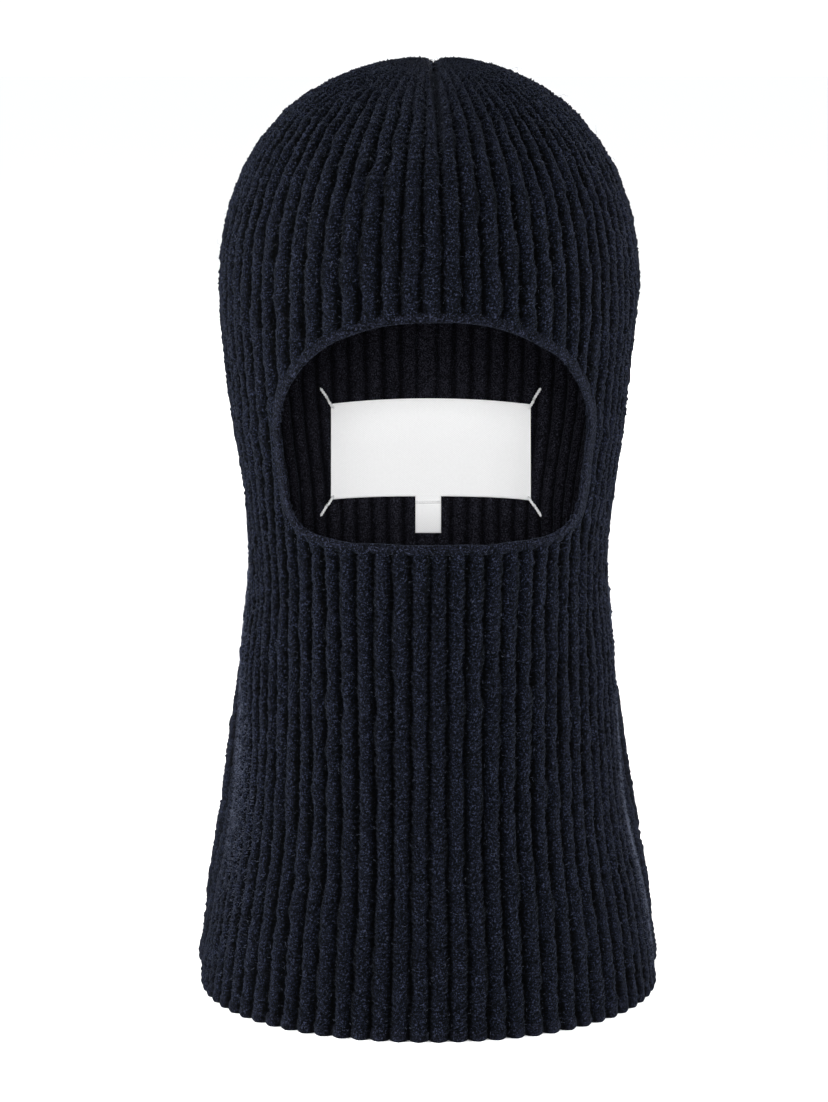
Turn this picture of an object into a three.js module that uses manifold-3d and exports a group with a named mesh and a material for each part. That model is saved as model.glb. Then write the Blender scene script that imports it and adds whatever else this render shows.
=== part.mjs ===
// A ribbed wool balaclava standing on its hem, opened out as if a head were in it.
// Millimetres, +Z up. The face opening looks along -Y and +X is on the viewer's right.
// The origin is the middle of the hem's rectangle, on the surface that the hem stands on.

import * as THREE from 'three';
import { mergeVertices } from 'three/addons/utils/BufferGeometryUtils.js';
import Module from 'manifold-3d';

const wasm = await Module();
wasm.setup();

// Driving dimensions

const seatGap = 0.3; // between two pieces that touch
const knitThickness = 4;

// Heights of the sections that shape the body, from the hem up
const skirtHeight = 83;
const waistHeight = 167;
const cheekHeight = 225;
const browHeight = 270;
const domeHeight = 88; // from the brow to the crown
const domePower = 2.2; // 2 is an ellipse, more is squarer

// Each section is a front half and a back half that meet in a fold on either side.
// Half widths are in X and depths in Y, all to the outside of the knit.
const hem = { height: 0, frontWidth: 88, backWidth: 94.5, frontDepth: 82, backDepth: 89 };
const skirt = { height: skirtHeight, frontWidth: 75, backWidth: 84, frontDepth: 77, backDepth: 83 };
const waist = { height: waistHeight, frontWidth: 69, backWidth: 69, frontDepth: 79, backDepth: 77 };
const cheek = { height: cheekHeight, frontWidth: 75.5, backWidth: 75.5, frontDepth: 85, backDepth: 86 };
const brow = { height: browHeight, frontWidth: 79, backWidth: 79, frontDepth: 90, backDepth: 90 };

// How square the back half is, where 2 is an ellipse, and how deep the side folds are
Object.assign(hem, { backPower: 2.8, fold: 2 });
Object.assign(skirt, { backPower: 2.8, fold: 3 });
Object.assign(waist, { backPower: 2.6, fold: 0 });
Object.assign(cheek, { backPower: 2.6, fold: 0 });
Object.assign(brow, { backPower: 2.2, fold: 0 });

const sections = [hem, skirt, waist, cheek, brow];
const frontPower = 2.1;
const foldBearing = THREE.MathUtils.degToRad(101); // where the side folds lie
const foldSpread = THREE.MathUtils.degToRad(9); // how far round a fold reaches each way

const openingCentreHeight = 225;
const openingHalfWidth = 55.5;
const openingRise = 43; // from the opening's centre to its top edge
const openingDrop = 39; // and to its bottom edge
const archPower = 2.2; // the top edge is a round arch
const sillPower = 5; // the bottom edge is straighter, with round corners
const trimWidth = 4;

const hemEdgeHeight = 3.5;

const seamWidth = 6;
const seamThickness = 1.2;
const crownSeamRows = 2; // length of the crown's front seam, in rows of the dome
const crownHoleRadius = 4.5;
const dimpleDepth = 1.5; // how far the gathered yarn sits below the crown

const labelWidth = 82;
const labelHeight = 39;
const labelThickness = 0.8;
const labelCentreHeight = 197;

const tackLength = 9; // one corner thread, from the label's face to the knit
const tackOverlap = 1.5; // how much of it lies on the label
const tackRadius = 0.6;
const tackClearance = 0.5; // between its end and the knit
const tackLean = THREE.MathUtils.degToRad(58); // above the label's long edges

const tabWidth = 10.5;
const tabLength = 14;
const tabThickness = 0.6;
const tabStitchRadius = 0.4;

// Values that follow from them

const leftSide = -Math.PI / 2;
const rightSide = Math.PI / 2;
const back = Math.PI;
const seamNear = knitThickness + seatGap; // depths below the outer surface
const seamFar = seamNear + seamThickness;
const labelNear = seamFar + seatGap;
const labelFar = labelNear + labelThickness;

const sizeKeys = ['frontWidth', 'backWidth', 'frontDepth', 'backDepth', 'backPower', 'fold'];
const sizeCurve = new THREE.CubicInterpolant(
  sections.map((section) => section.height),
  sections.flatMap((section) => sizeKeys.map((key) => section[key])),
  sizeKeys.length,
);
sizeCurve.settings = { endingStart: THREE.ZeroCurvatureEnding, endingEnd: THREE.ZeroSlopeEnding };

function sizesAt(height) {
  const values = sizeCurve.evaluate(height);
  return Object.fromEntries(sizeKeys.map((key, i) => [key, values[i]]));
}

function superRadius(angle, halfWidth, halfDepth, power) {
  const across = Math.abs(Math.sin(angle)) / halfWidth;
  const along = Math.abs(Math.cos(angle)) / halfDepth;
  return (across ** power + along ** power) ** (-1 / power);
}

// Radius of a section at a bearing: 0 is the front, and bearings grow towards +X.
function sectionRadius(bearing, size, inset) {
  const turn = Math.abs(Math.atan2(Math.sin(bearing), Math.cos(bearing)));
  const blend = THREE.MathUtils.smoothstep(turn, foldBearing - foldSpread, foldBearing + foldSpread);
  const front = superRadius(turn, size.frontWidth - inset, size.frontDepth - inset, frontPower);
  const rear = superRadius(turn, size.backWidth - inset, size.backDepth - inset, size.backPower);
  const isFront = turn < Math.PI / 2;
  const side = superRadius(turn, size.frontWidth - inset, size.backDepth - inset, size.backPower);
  const groove = size.fold * Math.exp(-(((turn - foldBearing) / foldSpread) ** 2));
  return (isFront ? front : THREE.MathUtils.lerp(side, rear, blend)) - groove;
}

// A point of the knit. Climb is 0 at the hem, 1 at the brow and 2 at the crown.
function knitPoint(bearing, climb, inset) {
  const rise = Math.max(climb - 1, 0) * Math.PI / 2;
  const bodyHeight = browHeight * Math.min(climb, 1);
  const domePart = (domeHeight - inset) * Math.sin(rise) ** (2 / domePower);
  const closing = Math.cos(rise) ** (2 / domePower);
  const radius = sectionRadius(bearing, sizesAt(bodyHeight), inset) * closing;
  return new THREE.Vector3(radius * Math.sin(bearing), -radius * Math.cos(bearing), bodyHeight + domePart);
}

// A point of the back wall, found from its X instead of its bearing.
function backWallPoint(x, height, inset) {
  const { backWidth, backDepth, backPower } = sizesAt(height);
  const across = (Math.abs(x) / (backWidth - inset)) ** backPower;
  return new THREE.Vector3(x, (backDepth - inset) * (1 - across) ** (1 / backPower), height);
}

// The climb at which the dome has closed in to a half width
function climbAtHalfWidth(halfWidth) {
  const closing = (halfWidth / brow.frontWidth) ** (domePower / 2);
  return 1 + Math.acos(closing) / (Math.PI / 2);
}

const crownClimb = climbAtHalfWidth(crownHoleRadius);
const panelClimb = (hemEdgeHeight + seatGap) / browHeight;

// Rows of points that every piece of knit shares, so that neighbours keep the same facets
const rowPitch = 24.5; // how far apart they are up the body
const bodyRows = Math.round(browHeight / rowPitch);
const domeRows = 10;
const sharedClimbs = [
  ...Array.from({ length: bodyRows }, (_, row) => row / bodyRows),
  ...Array.from({ length: domeRows }, (_, row) => THREE.MathUtils.lerp(1, crownClimb, row / domeRows)),
];

const seamTopClimb = sharedClimbs.at(-1); // the ridges stop at the last row below the yarn

function climbsBetween(from, to) {
  return [from, ...sharedClimbs.filter((climb) => climb > from && climb < to), to];
}

// Closed solids

// A closed slab between an outer and an inner grid of points. pointAt takes how far across it is,
// from 0 to 1, the row's number and true for the outer side. A slab that wraps is a ring.
function slab(columns, rows, wraps, pointAt) {
  const across = wraps ? columns : columns + 1;
  const positions = [];
  const index = [];
  for (const outer of [true, false]) {
    for (let row = 0; row <= rows; row += 1) {
      for (let column = 0; column < across; column += 1) {
        positions.push(...pointAt(column / columns, row, outer).toArray());
      }
    }
  }
  const at = (column, row, outer) => (outer ? 0 : across * (rows + 1)) + row * across + (column % across);
  const quad = (a, b, c, d) => index.push(a, b, c, a, c, d);
  for (let column = 0; column < columns; column += 1) {
    const next = column + 1;
    for (let row = 0; row < rows; row += 1) {
      const up = row + 1;
      quad(at(column, row, true), at(next, row, true), at(next, up, true), at(column, up, true));
      quad(at(next, row, false), at(column, row, false), at(column, up, false), at(next, up, false));
    }
    quad(at(column, 0, false), at(next, 0, false), at(next, 0, true), at(column, 0, true));
    quad(at(column, rows, true), at(next, rows, true), at(next, rows, false), at(column, rows, false));
  }
  for (let row = 0; row < rows && !wraps; row += 1) {
    const up = row + 1;
    quad(at(0, row, false), at(0, row, true), at(0, up, true), at(0, up, false));
    quad(at(columns, row, true), at(columns, row, false), at(columns, up, false), at(columns, up, true));
  }
  const geometry = new THREE.BufferGeometry();
  geometry.setAttribute('position', new THREE.Float32BufferAttribute(positions, 3));
  geometry.setIndex(index);
  return geometry;
}

function toSolid(geometry) {
  const bare = geometry.clone();
  bare.deleteAttribute('normal');
  bare.deleteAttribute('uv');
  const merged = mergeVertices(bare);
  const mesh = new wasm.Mesh({
    numProp: 3,
    vertProperties: Float32Array.from(merged.attributes.position.array),
    triVerts: Uint32Array.from(merged.index.array),
  });
  return new wasm.Manifold(mesh);
}

function toGeometry(solid) {
  const mesh = solid.getMesh();
  const geometry = new THREE.BufferGeometry();
  geometry.setAttribute('position', new THREE.Float32BufferAttribute(mesh.vertProperties, 3));
  geometry.setIndex(Array.from(mesh.triVerts));
  return geometry;
}

// Angle that a length spans round the knit at a place
function spanAngle(length, bearing, climb) {
  const point = knitPoint(bearing, climb, 0);
  return length / Math.hypot(point.x, point.y);
}

// A knitted panel between two bearings, short of each by half a gap
function panel(fromBearing, toBearing, fromClimb, toClimb, columns) {
  const climbs = climbsBetween(fromClimb, toClimb);
  return slab(columns, climbs.length - 1, false, (u, row, outer) => {
    const climb = climbs[row];
    const start = fromBearing + spanAngle(seatGap / 2, fromBearing, climb);
    const end = toBearing - spanAngle(seatGap / 2, toBearing, climb);
    return knitPoint(THREE.MathUtils.lerp(start, end, u), climb, outer ? 0 : knitThickness);
  });
}

// A linked seam: a narrow ridge on the inside of the knit along one bearing
function seamRidge(bearing, fromClimb, toClimb) {
  const climbs = climbsBetween(fromClimb, toClimb);
  return slab(2, climbs.length - 1, false, (u, row, outer) => {
    const climb = climbs[row];
    const halfSpan = spanAngle(seamWidth / 2, bearing, climb);
    return knitPoint(bearing + (2 * u - 1) * halfSpan, climb, outer ? seamNear : seamFar);
  });
}

// The face opening's outline, run forward from the middle of the head
function openingPrism(grow) {
  const steps = 64;
  const outline = new THREE.Shape();
  for (let step = 0; step < steps; step += 1) {
    const angle = (step / steps) * 2 * Math.PI;
    const isArch = Math.cos(angle) >= 0;
    const reach = isArch ? openingRise : openingDrop;
    const power = isArch ? archPower : sillPower;
    const radius = superRadius(angle, openingHalfWidth + grow, reach + grow, power);
    const point = [radius * Math.sin(angle), openingCentreHeight + radius * Math.cos(angle)];
    if (step === 0) outline.moveTo(...point);
    else outline.lineTo(...point);
  }
  outline.closePath();
  const length = 2 * brow.frontDepth;
  const prism = new THREE.ExtrudeGeometry(outline, { depth: length, bevelEnabled: false });
  return toSolid(prism.rotateX(Math.PI / 2));
}

function frontPanel() {
  const whole = toSolid(panel(leftSide, rightSide, panelClimb, crownClimb, 30));
  return toGeometry(whole.subtract(openingPrism(trimWidth + seatGap)));
}

function faceTrim() {
  const fromClimb = (openingCentreHeight - openingDrop - 2 * trimWidth) / browHeight;
  const band = toSolid(panel(leftSide, rightSide, fromClimb, 1 + openingRise / domeHeight, 30));
  return toGeometry(band.intersect(openingPrism(trimWidth)).subtract(openingPrism(0)));
}

function hemEdge() {
  return slab(60, 1, true, (u, row, outer) => {
    const climb = (row * hemEdgeHeight) / browHeight;
    return knitPoint(u * 2 * Math.PI, climb, outer ? 0 : knitThickness);
  });
}

// The short seam that runs forward from the crown, inside the front panel
function crownSeam() {
  return seamRidge(0, sharedClimbs.at(-1 - crownSeamRows), seamTopClimb);
}

// The yarn that draws the last stitches together, pulled down into a dimple
function crownYarn() {
  const radius = crownHoleRadius * (1 - knitThickness / brow.frontWidth) - seatGap;
  const top = domeHeight - dimpleDepth;
  const bottom = domeHeight - seamFar;
  const outline = [
    new THREE.Vector2(0, bottom),
    new THREE.Vector2(radius / 2, bottom),
    new THREE.Vector2(radius, bottom + seamThickness),
    new THREE.Vector2(radius, top - seamThickness),
    new THREE.Vector2(radius / 2, top),
    new THREE.Vector2(0, top),
  ];
  return new THREE.LatheGeometry(outline, 16).rotateX(Math.PI / 2).translate(0, 0, browHeight);
}

// A flat woven label laid on the back wall, over the centre seam
function mainLabel() {
  const rows = 3;
  return slab(16, rows, false, (u, row, outer) => {
    const x = (0.5 - u) * labelWidth;
    const height = labelCentreHeight + (row / rows - 0.5) * labelHeight;
    return backWallPoint(x, height, outer ? labelNear : labelFar);
  });
}

function roundBar(path, radius, steps) {
  const circle = new THREE.Shape().absarc(0, 0, radius, 0, 2 * Math.PI);
  const options = { steps, curveSegments: 4, bevelEnabled: false, extrudePath: path };
  return new THREE.ExtrudeGeometry(circle, options);
}

// One corner thread: it starts on the label's face and runs out and down on to the knit.
function cornerTack(side, upDown) {
  const along = (distance, inset) => backWallPoint(
    side * (labelWidth / 2 + distance * Math.cos(tackLean)),
    labelCentreHeight + upDown * (labelHeight / 2 + distance * Math.sin(tackLean)),
    inset,
  );
  const onLabel = labelFar + seatGap + tackRadius;
  const onKnit = knitThickness + tackClearance + tackRadius;
  const path = new THREE.CatmullRomCurve3([
    along(-tackOverlap, onLabel),
    along(tackRadius, onLabel),
    along(tackLength - tackOverlap - 4 * tackRadius, onKnit),
    along(tackLength - tackOverlap, onKnit),
  ]);
  return roundBar(path, tackRadius, 8);
}

// The sewing line that holds the tab, just under the label and on the centre seam
const tabAxisHeight = labelCentreHeight - labelHeight / 2 - seatGap - tabStitchRadius;
const tabAxis = backWallPoint(0, tabAxisHeight, seamFar + seatGap + tabStitchRadius);

function tabStitch() {
  const end = new THREE.Vector3(tabWidth / 2, 0, 0);
  const path = new THREE.LineCurve3(end.clone().negate(), end);
  return roundBar(path, tabStitchRadius, 1).translate(...tabAxis.toArray());
}

function tabLabel() {
  const top = tabStitchRadius + seatGap;
  return new THREE.BoxGeometry(tabWidth, tabThickness, tabLength).translate(0, 0, -top - tabLength / 2);
}

// Materials

const knit = new THREE.MeshStandardMaterial({ color: 0x1f2433, roughness: 0.95, metalness: 0 });
const linking = new THREE.MeshStandardMaterial({ color: 0x181c28, roughness: 0.95, metalness: 0 });
const woven = new THREE.MeshStandardMaterial({ color: 0xf1f0ec, roughness: 0.8, metalness: 0 });
const thread = new THREE.MeshStandardMaterial({ color: 0xf7f6f2, roughness: 0.7, metalness: 0 });

// The assembly

const group = new THREE.Group();

function add(name, geometry, material, parent = group) {
  const mesh = new THREE.Mesh(geometry, material);
  mesh.name = name;
  parent.add(mesh);
}

add('front_panel', frontPanel(), knit);
add('back_panel_right', panel(rightSide, back, panelClimb, crownClimb, 15), knit);
add('back_panel_left', panel(back, 2 * Math.PI + leftSide, panelClimb, crownClimb, 15), knit);
add('face_trim', faceTrim(), knit);
add('hem_edge', hemEdge(), knit);
add('side_seam_right', seamRidge(rightSide, panelClimb, seamTopClimb), linking);
add('side_seam_left', seamRidge(leftSide, panelClimb, seamTopClimb), linking);
add('centre_back_seam', seamRidge(back, panelClimb, seamTopClimb), linking);
add('crown_seam', crownSeam(), linking);
add('crown_yarn', crownYarn(), linking);
add('main_label', mainLabel(), woven);
for (const [sideName, side] of [['left', -1], ['right', 1]]) {
  for (const [endName, upDown] of [['upper', 1], ['lower', -1]]) {
    add(`label_tack_${endName}_${sideName}`, cornerTack(side, upDown), thread);
  }
}
add('tab_stitch', tabStitch(), thread);

// The tab hangs from its stitches along the slope of the wall behind it.
const tabPivot = new THREE.Group();
const tabFoot = backWallPoint(0, tabAxisHeight - tabLength, seamFar + seatGap + tabStitchRadius);
tabPivot.position.copy(tabAxis);
tabPivot.rotation.x = Math.atan2(tabFoot.y - tabAxis.y, tabLength);
add('tab_label', tabLabel(), woven, tabPivot);
group.add(tabPivot);

export default group;
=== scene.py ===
"""The looks of a ribbed wool balaclava that stands on its hem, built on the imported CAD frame."""

import math

import bpy
import numpy as np
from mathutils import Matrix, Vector


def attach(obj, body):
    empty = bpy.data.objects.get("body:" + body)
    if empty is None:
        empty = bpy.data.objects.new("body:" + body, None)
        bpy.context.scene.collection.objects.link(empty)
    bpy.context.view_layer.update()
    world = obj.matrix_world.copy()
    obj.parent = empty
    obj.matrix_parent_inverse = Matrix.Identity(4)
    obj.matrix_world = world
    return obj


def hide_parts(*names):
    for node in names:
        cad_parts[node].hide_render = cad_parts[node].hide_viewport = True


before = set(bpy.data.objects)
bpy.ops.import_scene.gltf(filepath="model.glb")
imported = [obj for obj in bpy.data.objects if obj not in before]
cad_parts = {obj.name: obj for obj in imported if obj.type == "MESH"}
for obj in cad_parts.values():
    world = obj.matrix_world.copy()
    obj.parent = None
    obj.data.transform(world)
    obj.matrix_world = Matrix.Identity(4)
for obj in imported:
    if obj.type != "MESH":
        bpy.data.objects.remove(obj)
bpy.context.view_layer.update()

# Sizes, in millimetres. The body's sections are close to the CAD model's: here the hem's front is a
# little wider, and the side folds are deeper at the skirt.

MM = 0.001
KNIT_THICKNESS = 4.0
SECTION_HEIGHTS = np.array([0, 83, 167, 225, 270.0])
FRONT_WIDTHS = np.array([89.5, 75, 69, 75.5, 79])
BACK_WIDTHS = np.array([94.5, 84, 69, 75.5, 79])
FRONT_DEPTHS = np.array([82, 77, 79, 85, 90.0])
BACK_DEPTHS = np.array([89, 83, 77, 86, 90.0])
BACK_POWERS = np.array([2.8, 2.8, 2.6, 2.6, 2.2])
LEFT_FOLDS = np.array([0.3, 5, 1, 0, 0.0])
RIGHT_FOLDS = np.array([0.6, 9.5, 2.5, 0, 0.0])
FRONT_POWER = 2.1
DOME_POWER = 2.2
BROW = SECTION_HEIGHTS[-1]
DOME_HEIGHT = 88.0
FOLD_BEARING = math.radians(101)
FOLD_SPREAD = math.radians(9)

FRONT_RIBS = 36
BACK_RIBS = 18  # on each side
RIBS = FRONT_RIBS + 2 * BACK_RIBS
COURSE = 2.2  # height of one row of stitches
RIB_DEPTH = 2.3
WALL = 1.9  # the cloth's own thickness, between a rib's outside and its inside
RIB_SAMPLES = 10  # points across a rib on the outside
COURSE_SAMPLES = 4  # points up a course on the outside
INNER_STEP = 2  # the inside has one point for this many outside, across a rib
LEG_HEIGHT = 0.22  # of the slanted legs of a stitch
LEG_SLANT = 0.75  # how many courses a leg climbs from a rib's middle to its side
RIB_LINE = 0.08  # depth of the line along a rib, where the legs meet
COURSE_BARS = 0.15  # how much the valleys deepen and fill within a course
SURFACE_INSET = 0.35  # of the ribs' tops
ROUGHNESS = 0.19  # random height of each point
UNEVEN_RIBS = 96  # size of each table of random heights
UNEVEN_COURSES = 256
MERGE_FAR = 36.0  # at the crown, pairs of ribs start to run into one this near the axis
MERGE_NEAR = 20.0

OPENING_SHIFT = 2.0  # the opening sits a little to the right of the middle
CROWN_SHIFT = 2.0  # and so does the crown's middle
CROWN_REACH = 45.0  # how far out that shift reaches
OPENING_CENTRE = 224.3
OPENING_HALF_WIDTH = 56.3
OPENING_RISE = 43.2
OPENING_DROP = 38.4
OPENING_TAPER = 0.07  # it narrows by this share towards the sill
ARCH_POWER = 2.15
SILL_POWER = 7.0
TRIM_WIDTH = 2.9
TRIM_LAP = 1.5  # how far the trim covers the panel's edge
TRIM_POINTS = 560  # round the opening
TRIM_CHAINS = 168  # chain stitches round the opening
TRIM_LIP = range(5, 12)  # the lines of the trim's profile that show the chain
RIB_FADE = 2.8  # the ribs grow to full depth over this distance from the trim

HEM_EDGE = 3.5
CROWN_HOLE = 4.5
DIMPLE_DEPTH = 1.6  # of the gathered crown
GROOVE_DEPTH = 4.6  # of the crown's groove, which runs forward from the middle
SEAM_NEAR = 4.3  # below the outer surface
SEAM_FAR = 5.5
SEAM_WIDTH = 6.4
SEAM_STEP = 0.62  # between the seam's sections
SEAM_LOOP = 2.6  # length of one linked loop

LABEL_WIDTH = 80.8
LABEL_HEIGHT = 38.0
LABEL_CENTRE = 198.9
LABEL_SHIFT = 1.4
LABEL_INSET = 6.0  # the label's back face
LABEL_THICKNESS = 0.55
TACK_LENGTH = 9.0
TACK_LEAN = math.radians(58)
TACK_RADIUS = 0.62
TAB_WIDTH = 10.5
TAB_LENGTH = 12.2
TAB_THICKNESS = 0.5
TAB_AXIS = np.array([0.4, 71.6, 176.8])  # a point of the line that the tab folds along
TAB_LEAN = math.radians(3.8)
TAB_BEHIND = 0.3  # how far behind that line the tape lies
TAB_TOP = 0.3  # the hanging part, above that line
SEWN_TOP = 4.0  # the sewn end, above that line
SEWN_FOOT = 0.35
TAB_LINE = 1.3  # the sewing, above that line

FIBRE_RADIUS = 0.062  # at the root
LYING = 0.15  # how steeply the flattest of the loose fibres stand
STANDING = 0.9
FOLD_SPAN = 0.72  # how far the side folds' pale fibres, a painted highlight, climb
FOLD_FOOT = 0.03
RIGHT_HIGHLIGHT_BEARING = math.radians(86)  # bearing of the pale fibres that paint the right fold's highlight
RIGHT_SPREAD = math.radians(3.6)
LEFT_HIGHLIGHT_BEARING = math.radians(88)  # on the left, measured the other way, at the waist
LEFT_DRIFT = math.radians(61)  # how far it moves forward per unit of climb below the waist
LEFT_SPREAD = math.radians(4.5)
WAIST_CLIMB = 0.53

random = np.random.default_rng(7)


# The shape of the knit


def smooth_curve(values, heights):
    """A smooth curve through one size of the sections, level at the brow."""
    steps = np.diff(SECTION_HEIGHTS)
    slopes = np.diff(values) / steps
    tangents = np.empty_like(values, dtype=float)
    tangents[1:-1] = (slopes[:-1] * steps[1:] + slopes[1:] * steps[:-1]) / (steps[1:] + steps[:-1])
    tangents[0] = slopes[0]
    tangents[-1] = 0
    i = np.clip(np.searchsorted(SECTION_HEIGHTS, heights, side="right") - 1, 0, len(steps) - 1)
    t = (heights - SECTION_HEIGHTS[i]) / steps[i]
    start = (2 * t**3 - 3 * t**2 + 1) * values[i] + (t**3 - 2 * t**2 + t) * steps[i] * tangents[i]
    end = (3 * t**2 - 2 * t**3) * values[i + 1] + (t**3 - t**2) * steps[i] * tangents[i + 1]
    return start + end


def smoothstep(low, high, value):
    t = np.clip((value - low) / (high - low), 0, 1)
    return t * t * (3 - 2 * t)


def super_radius(angle, half_width, half_depth, power):
    across = np.abs(np.sin(angle)) / half_width
    along = np.abs(np.cos(angle)) / half_depth
    return (across**power + along**power) ** (-1 / power)


def section_radius(bearing, height, inset):
    """Radius of the body at a bearing, which is 0 at the front and grows towards +X."""
    turn = np.abs(np.arctan2(np.sin(bearing), np.cos(bearing)))
    front_width = smooth_curve(FRONT_WIDTHS, height) - inset
    front_depth = smooth_curve(FRONT_DEPTHS, height) - inset
    back_width = smooth_curve(BACK_WIDTHS, height) - inset
    back_depth = smooth_curve(BACK_DEPTHS, height) - inset
    back_power = smooth_curve(BACK_POWERS, height)
    blend = smoothstep(FOLD_BEARING - FOLD_SPREAD, FOLD_BEARING + FOLD_SPREAD, turn)
    front = super_radius(turn, front_width, front_depth, FRONT_POWER)
    side = super_radius(turn, front_width, back_depth, back_power)
    rear = super_radius(turn, back_width, back_depth, back_power)
    right_fold = smooth_curve(RIGHT_FOLDS, height)
    left_fold = smooth_curve(LEFT_FOLDS, height)
    folds = np.where(np.sin(bearing) > 0, right_fold, left_fold)
    groove = folds * np.exp(-(((turn - FOLD_BEARING) / FOLD_SPREAD) ** 2))
    return np.where(turn < math.pi / 2, front, side + (rear - side) * blend) - groove


def swell(height, centre, reach, amount):
    return amount * np.exp(-(((height - centre) / reach) ** 2))


def fullness(bearing, height):
    """Where the sides stand a little further out, or in, than the sections."""
    hand = np.sin(bearing)
    side = np.abs(hand) ** 6
    both = swell(height, 138, 24, 2.2) + swell(height, 106, 26, 1.3) + swell(height, 292, 18, 0.7)
    right = swell(height, 36, 30, 2.6)
    left = swell(height, 202, 20, -1.3) + swell(height, 138, 16, 0.5) + swell(height, 44, 26, 0.9)
    return side * (both + np.where(hand > 0, right, left))


def knit_points(bearing, climb, inset):
    """Points of the knit. Climb is 0 at the hem, 1 at the brow and 2 at the crown."""
    rise = np.maximum(climb - 1, 0) * math.pi / 2
    body = BROW * np.minimum(climb, 1)
    closing = np.cos(rise) ** (2 / DOME_POWER)
    radius = section_radius(bearing, body, inset) * closing + fullness(bearing, body + 48 * np.sin(rise))
    height = body + (DOME_HEIGHT - inset * smoothstep(0, 0.4, rise)) * np.sin(rise) ** (2 / DOME_POWER)
    aside = CROWN_SHIFT * np.exp(-((radius / CROWN_REACH) ** 2)) * smoothstep(1.2, 1.6, climb)
    return np.stack([radius * np.sin(bearing) + aside, -radius * np.cos(bearing), height], axis=-1)


def climb_at_height(height):
    if height <= BROW:
        return height / BROW
    share = ((height - BROW) / DOME_HEIGHT) ** (DOME_POWER / 2)
    return 1 + math.asin(share) / (math.pi / 2)


def climb_at_radius(radius):
    return 1 + math.acos((radius / FRONT_WIDTHS[-1]) ** (DOME_POWER / 2)) / (math.pi / 2)


def wall_points(x, height, inset, is_back):
    """Points of the front or back wall, found from X instead of the bearing."""
    body = np.minimum(height, BROW)
    widths, depths = (BACK_WIDTHS, BACK_DEPTHS) if is_back else (FRONT_WIDTHS, FRONT_DEPTHS)
    power = smooth_curve(BACK_POWERS, body) if is_back else FRONT_POWER
    dome = np.clip((height - BROW) / (DOME_HEIGHT - inset), 0, 1)
    closing = (1 - dome**DOME_POWER) ** (1 / DOME_POWER)
    across = (np.abs(x) / (closing * (smooth_curve(widths, body) - inset))) ** power
    depth = closing * (smooth_curve(depths, body) - inset) * (1 - across) ** (1 / power)
    return np.stack([x + 0 * depth, depth if is_back else -depth, height + 0 * depth], axis=-1)


def sill_taper(rise):
    return 1 + OPENING_TAPER * np.clip(rise, -OPENING_DROP, 0) / OPENING_DROP


def opening_outline(angle, grow):
    """X and Z of the opening's edge, grown outward. Angle 0 is the top."""
    is_arch = np.cos(angle) >= 0
    reach = np.where(is_arch, OPENING_RISE, OPENING_DROP)
    power = np.where(is_arch, ARCH_POWER, SILL_POWER)
    radius = super_radius(angle, OPENING_HALF_WIDTH + grow, reach + grow, power)
    rise = radius * np.cos(angle)
    return OPENING_SHIFT + radius * np.sin(angle) * sill_taper(rise), OPENING_CENTRE + rise


def beyond_opening(points):
    """How far points of the front lie outside the opening's edge, in millimetres."""
    z = points[..., 2] - OPENING_CENTRE
    x = (points[..., 0] - OPENING_SHIFT) / sill_taper(z)
    angle = np.arctan2(x, z)
    is_arch = z >= 0
    reach = np.where(is_arch, OPENING_RISE, OPENING_DROP)
    power = np.where(is_arch, ARCH_POWER, SILL_POWER)
    distance = np.hypot(x, z) - super_radius(angle, OPENING_HALF_WIDTH, reach, power)
    return np.where(points[..., 1] < 0, distance, 200)


# Stitches


def rib_profile(share):
    """0 in the valley between two ribs, at share 0 and 1, and 1 on a rib."""
    return (1 - np.abs(2 * share - 1) ** 2.0) ** 0.85


def stitch_relief(rib, course):
    """The slanted legs of each stitch, and the fine line where they meet along a rib."""
    share = rib % 1
    off = np.abs(2 * share - 1)
    legs = 0.5 + 0.5 * np.cos(2 * math.pi * (course - LEG_SLANT * off))
    line = np.exp(-((off / 0.16) ** 2))
    return LEG_HEIGHT * legs * smoothstep(1, 0.55, off) - RIB_LINE * line


def uneven(rib, course, amount):
    """A different small height for every stitch, blended between neighbours."""
    field = random.normal(0, amount, (UNEVEN_RIBS, UNEVEN_COURSES))
    i, j = np.floor(rib).astype(int), np.floor(course).astype(int)
    s, t = smoothstep(0, 1, rib - i), smoothstep(0, 1, course - j)

    def at(a, b):
        return field[a % UNEVEN_RIBS, b % UNEVEN_COURSES]

    low = at(i, j) * (1 - s) + at(i + 1, j) * s
    high = at(i, j + 1) * (1 - s) + at(i + 1, j + 1) * s
    return low * (1 - t) + high * t


def merged_ribs(rib, closeness):
    """Where the crown narrows, pairs of ribs run into one."""
    single = rib_profile(rib % 1)
    pair = rib_profile((rib / 2) % 1)
    return single * (1 - closeness) + pair * closeness


# Meshes


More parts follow.
